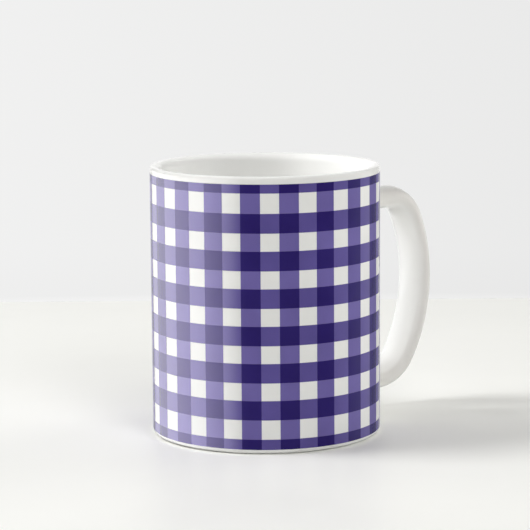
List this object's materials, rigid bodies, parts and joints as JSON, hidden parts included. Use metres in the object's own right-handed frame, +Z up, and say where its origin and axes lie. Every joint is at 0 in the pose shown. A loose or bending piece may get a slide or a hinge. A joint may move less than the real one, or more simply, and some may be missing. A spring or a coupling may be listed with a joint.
{
  "type": "mug",
  "caption": "Straight-sided glazed ceramic mug with a loop handle and a printed gingham wrap round its outside wall.",
  "frame": {"origin": "centre of the foot ring, on the plane the mug stands on", "axes": "+Z up along the cup's axis, +X out through the middle of the handle, +Y completes the right-handed frame"},
  "size_m": [0.1191, 0.0822, 0.0965],
  "materials": {
    "clay": "matte",
    "slip": "matte",
    "glaze": "gloss",
    "print_stripe": "gloss",
    "print_band": "gloss",
    "print_cross": "gloss"
  },
  "bodies": {
    "root": {"mug_body": "clay", "handle_core": "clay", "upper_slip_joint": "slip", "lower_slip_joint": "slip", "inner_glaze": "glaze", "outer_glaze": "glaze", "handle_glaze": "glaze", "base_glaze": "glaze", "print_stripes": "print_stripe", "print_bands": "print_band", "print_crossings": "print_cross"}
  },
  "joints": []
}
